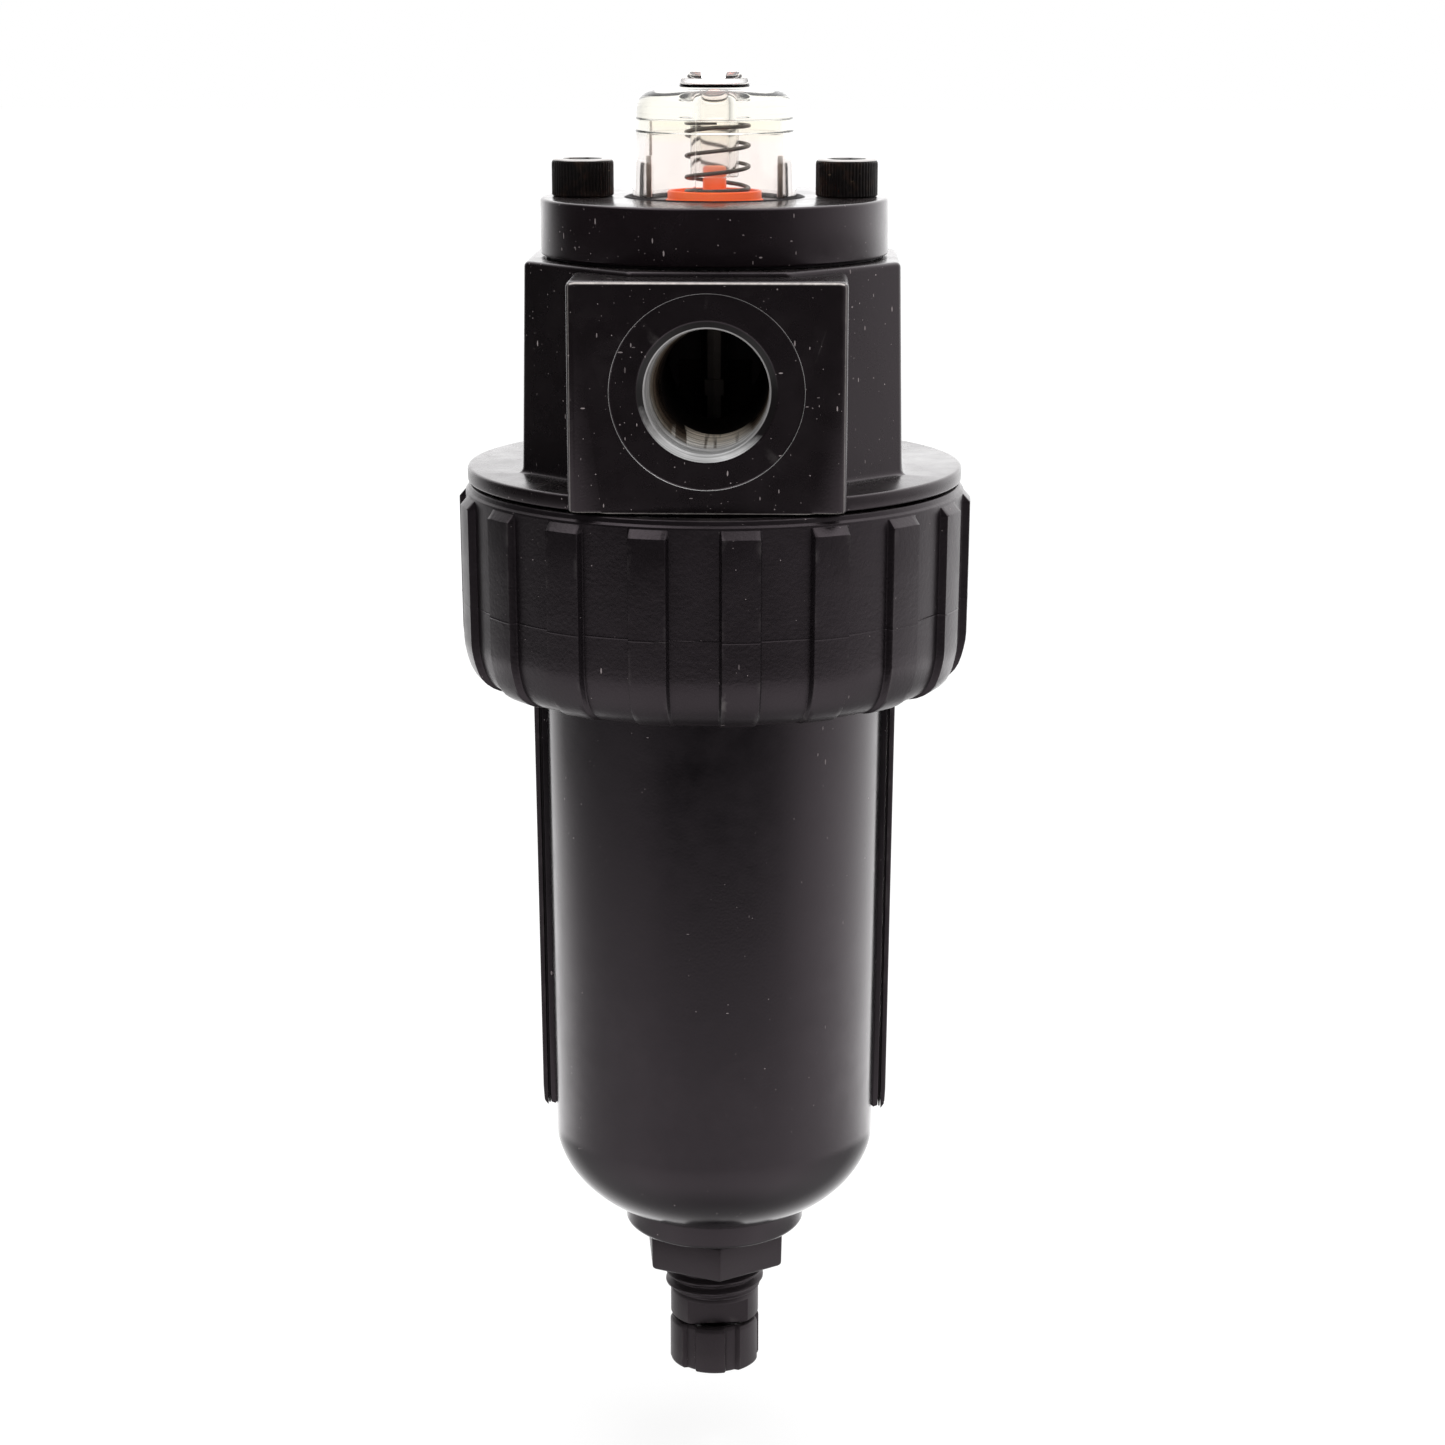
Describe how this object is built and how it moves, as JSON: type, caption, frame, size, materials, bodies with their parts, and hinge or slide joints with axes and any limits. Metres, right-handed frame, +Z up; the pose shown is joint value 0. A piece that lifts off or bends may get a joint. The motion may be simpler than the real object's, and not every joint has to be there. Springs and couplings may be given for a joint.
{
  "type": "compressed air filter",
  "caption": "Inline coalescing compressed air filter: black cast head with threaded ports, sprung service indicator under a clear dome, clamp collar, metal bowl and twist drain.",
  "frame": {"origin": "bottom centre of the drain knob, on the bowl's axis", "axes": "+Z up along the bowl axis, -Y out of the inlet port, +Y out of the outlet port, +X towards the right-hand sight gauge"},
  "size_m": [0.0844, 0.0842, 0.2231],
  "materials": {
    "black_paint": "satin black paint over die-cast aluminium",
    "black_anodised": "satin black anodised",
    "black_oxide_steel": "black oxide with slight rust bloom",
    "clear_polycarbonate": "clear, faintly yellowed",
    "black_rubber": "matte",
    "spring_steel": "dark drawn wire",
    "orange_plastic": "moulded, bright orange",
    "zinc_steel": "zinc plated",
    "glass_fibre_media": "matted fibre",
    "drain_foam": "open cell foam",
    "end_cap_plastic": "moulded",
    "black_nylon": "moulded, low sheen",
    "black_drain_plastic": "moulded, low sheen"
  },
  "bodies": {
    "head": {"filter_head": "black_paint", "cover_plate": "black_anodised", "cover_gasket": "black_rubber", "cap_screw_left": "black_oxide_steel", "cap_screw_right": "black_oxide_steel", "indicator_dome": "clear_polycarbonate", "dome_seal": "black_rubber", "indicator_sleeve": "black_anodised", "indicator_spring": "spring_steel", "element_top_seal": "black_rubber", "element_top_cap": "end_cap_plastic", "element_core": "zinc_steel", "element_media": "glass_fibre_media", "element_foam_sleeve": "drain_foam", "element_bottom_cap": "end_cap_plastic", "tie_rod": "zinc_steel", "tie_rod_washer": "zinc_steel", "tie_rod_nut": "zinc_steel"},
    "indicator": {"indicator_piston": "orange_plastic", "piston_seal": "black_rubber"},
    "bowl": {"bowl": "black_paint", "bowl_seal": "black_rubber", "sight_gasket_left": "black_rubber", "sight_gasket_right": "black_rubber", "sight_bezel_left": "black_drain_plastic", "sight_bezel_right": "black_drain_plastic", "sight_lens_left": "clear_polycarbonate", "sight_lens_right": "clear_polycarbonate", "drain_bushing": "black_drain_plastic", "drain_gasket": "black_rubber", "drain_lock_nut": "zinc_steel", "drain_body": "black_drain_plastic"},
    "collar": {"collar_ring": "black_nylon"},
    "drain_stem": {"drain_stem": "black_drain_plastic", "drain_stem_seal": "black_rubber"},
    "drain_knob": {"drain_knob": "black_drain_plastic"}
  },
  "joints": [
    {"name": "indicator_rise", "type": "slide", "parent": "head", "child": "indicator", "axis": [0, 0, 1], "range_m": [0, 0.0028], "stiffness_N_per_m": 400, "deforming": ["indicator_spring"]},
    {"name": "bowl_drop", "type": "slide", "parent": "head", "child": "bowl", "axis": [0, 0, 1], "range_m": [-0.014, 0]},
    {"name": "collar_unscrew", "type": "hinge", "parent": "bowl", "child": "collar", "pos_m": [0, 0, 0.1405], "axis": [0, 0, 1], "range_deg": [-1261, 0]},
    {"name": "drain_travel", "type": "slide", "parent": "bowl", "child": "drain_stem", "axis": [0, 0, 1], "range_m": [-0.0015, 0]},
    {"name": "drain_turn", "type": "hinge", "parent": "drain_stem", "child": "drain_knob", "pos_m": [0, 0, 0.00425], "axis": [0, 0, 1], "range_deg": [-541, 0]}
  ],
  "couplings": [
    {"joint": "collar_unscrew", "follows": "bowl_drop", "rad_per_m": 1570.8},
    {"joint": "drain_turn", "follows": "drain_travel", "rad_per_m": 6283.2}
  ]
}
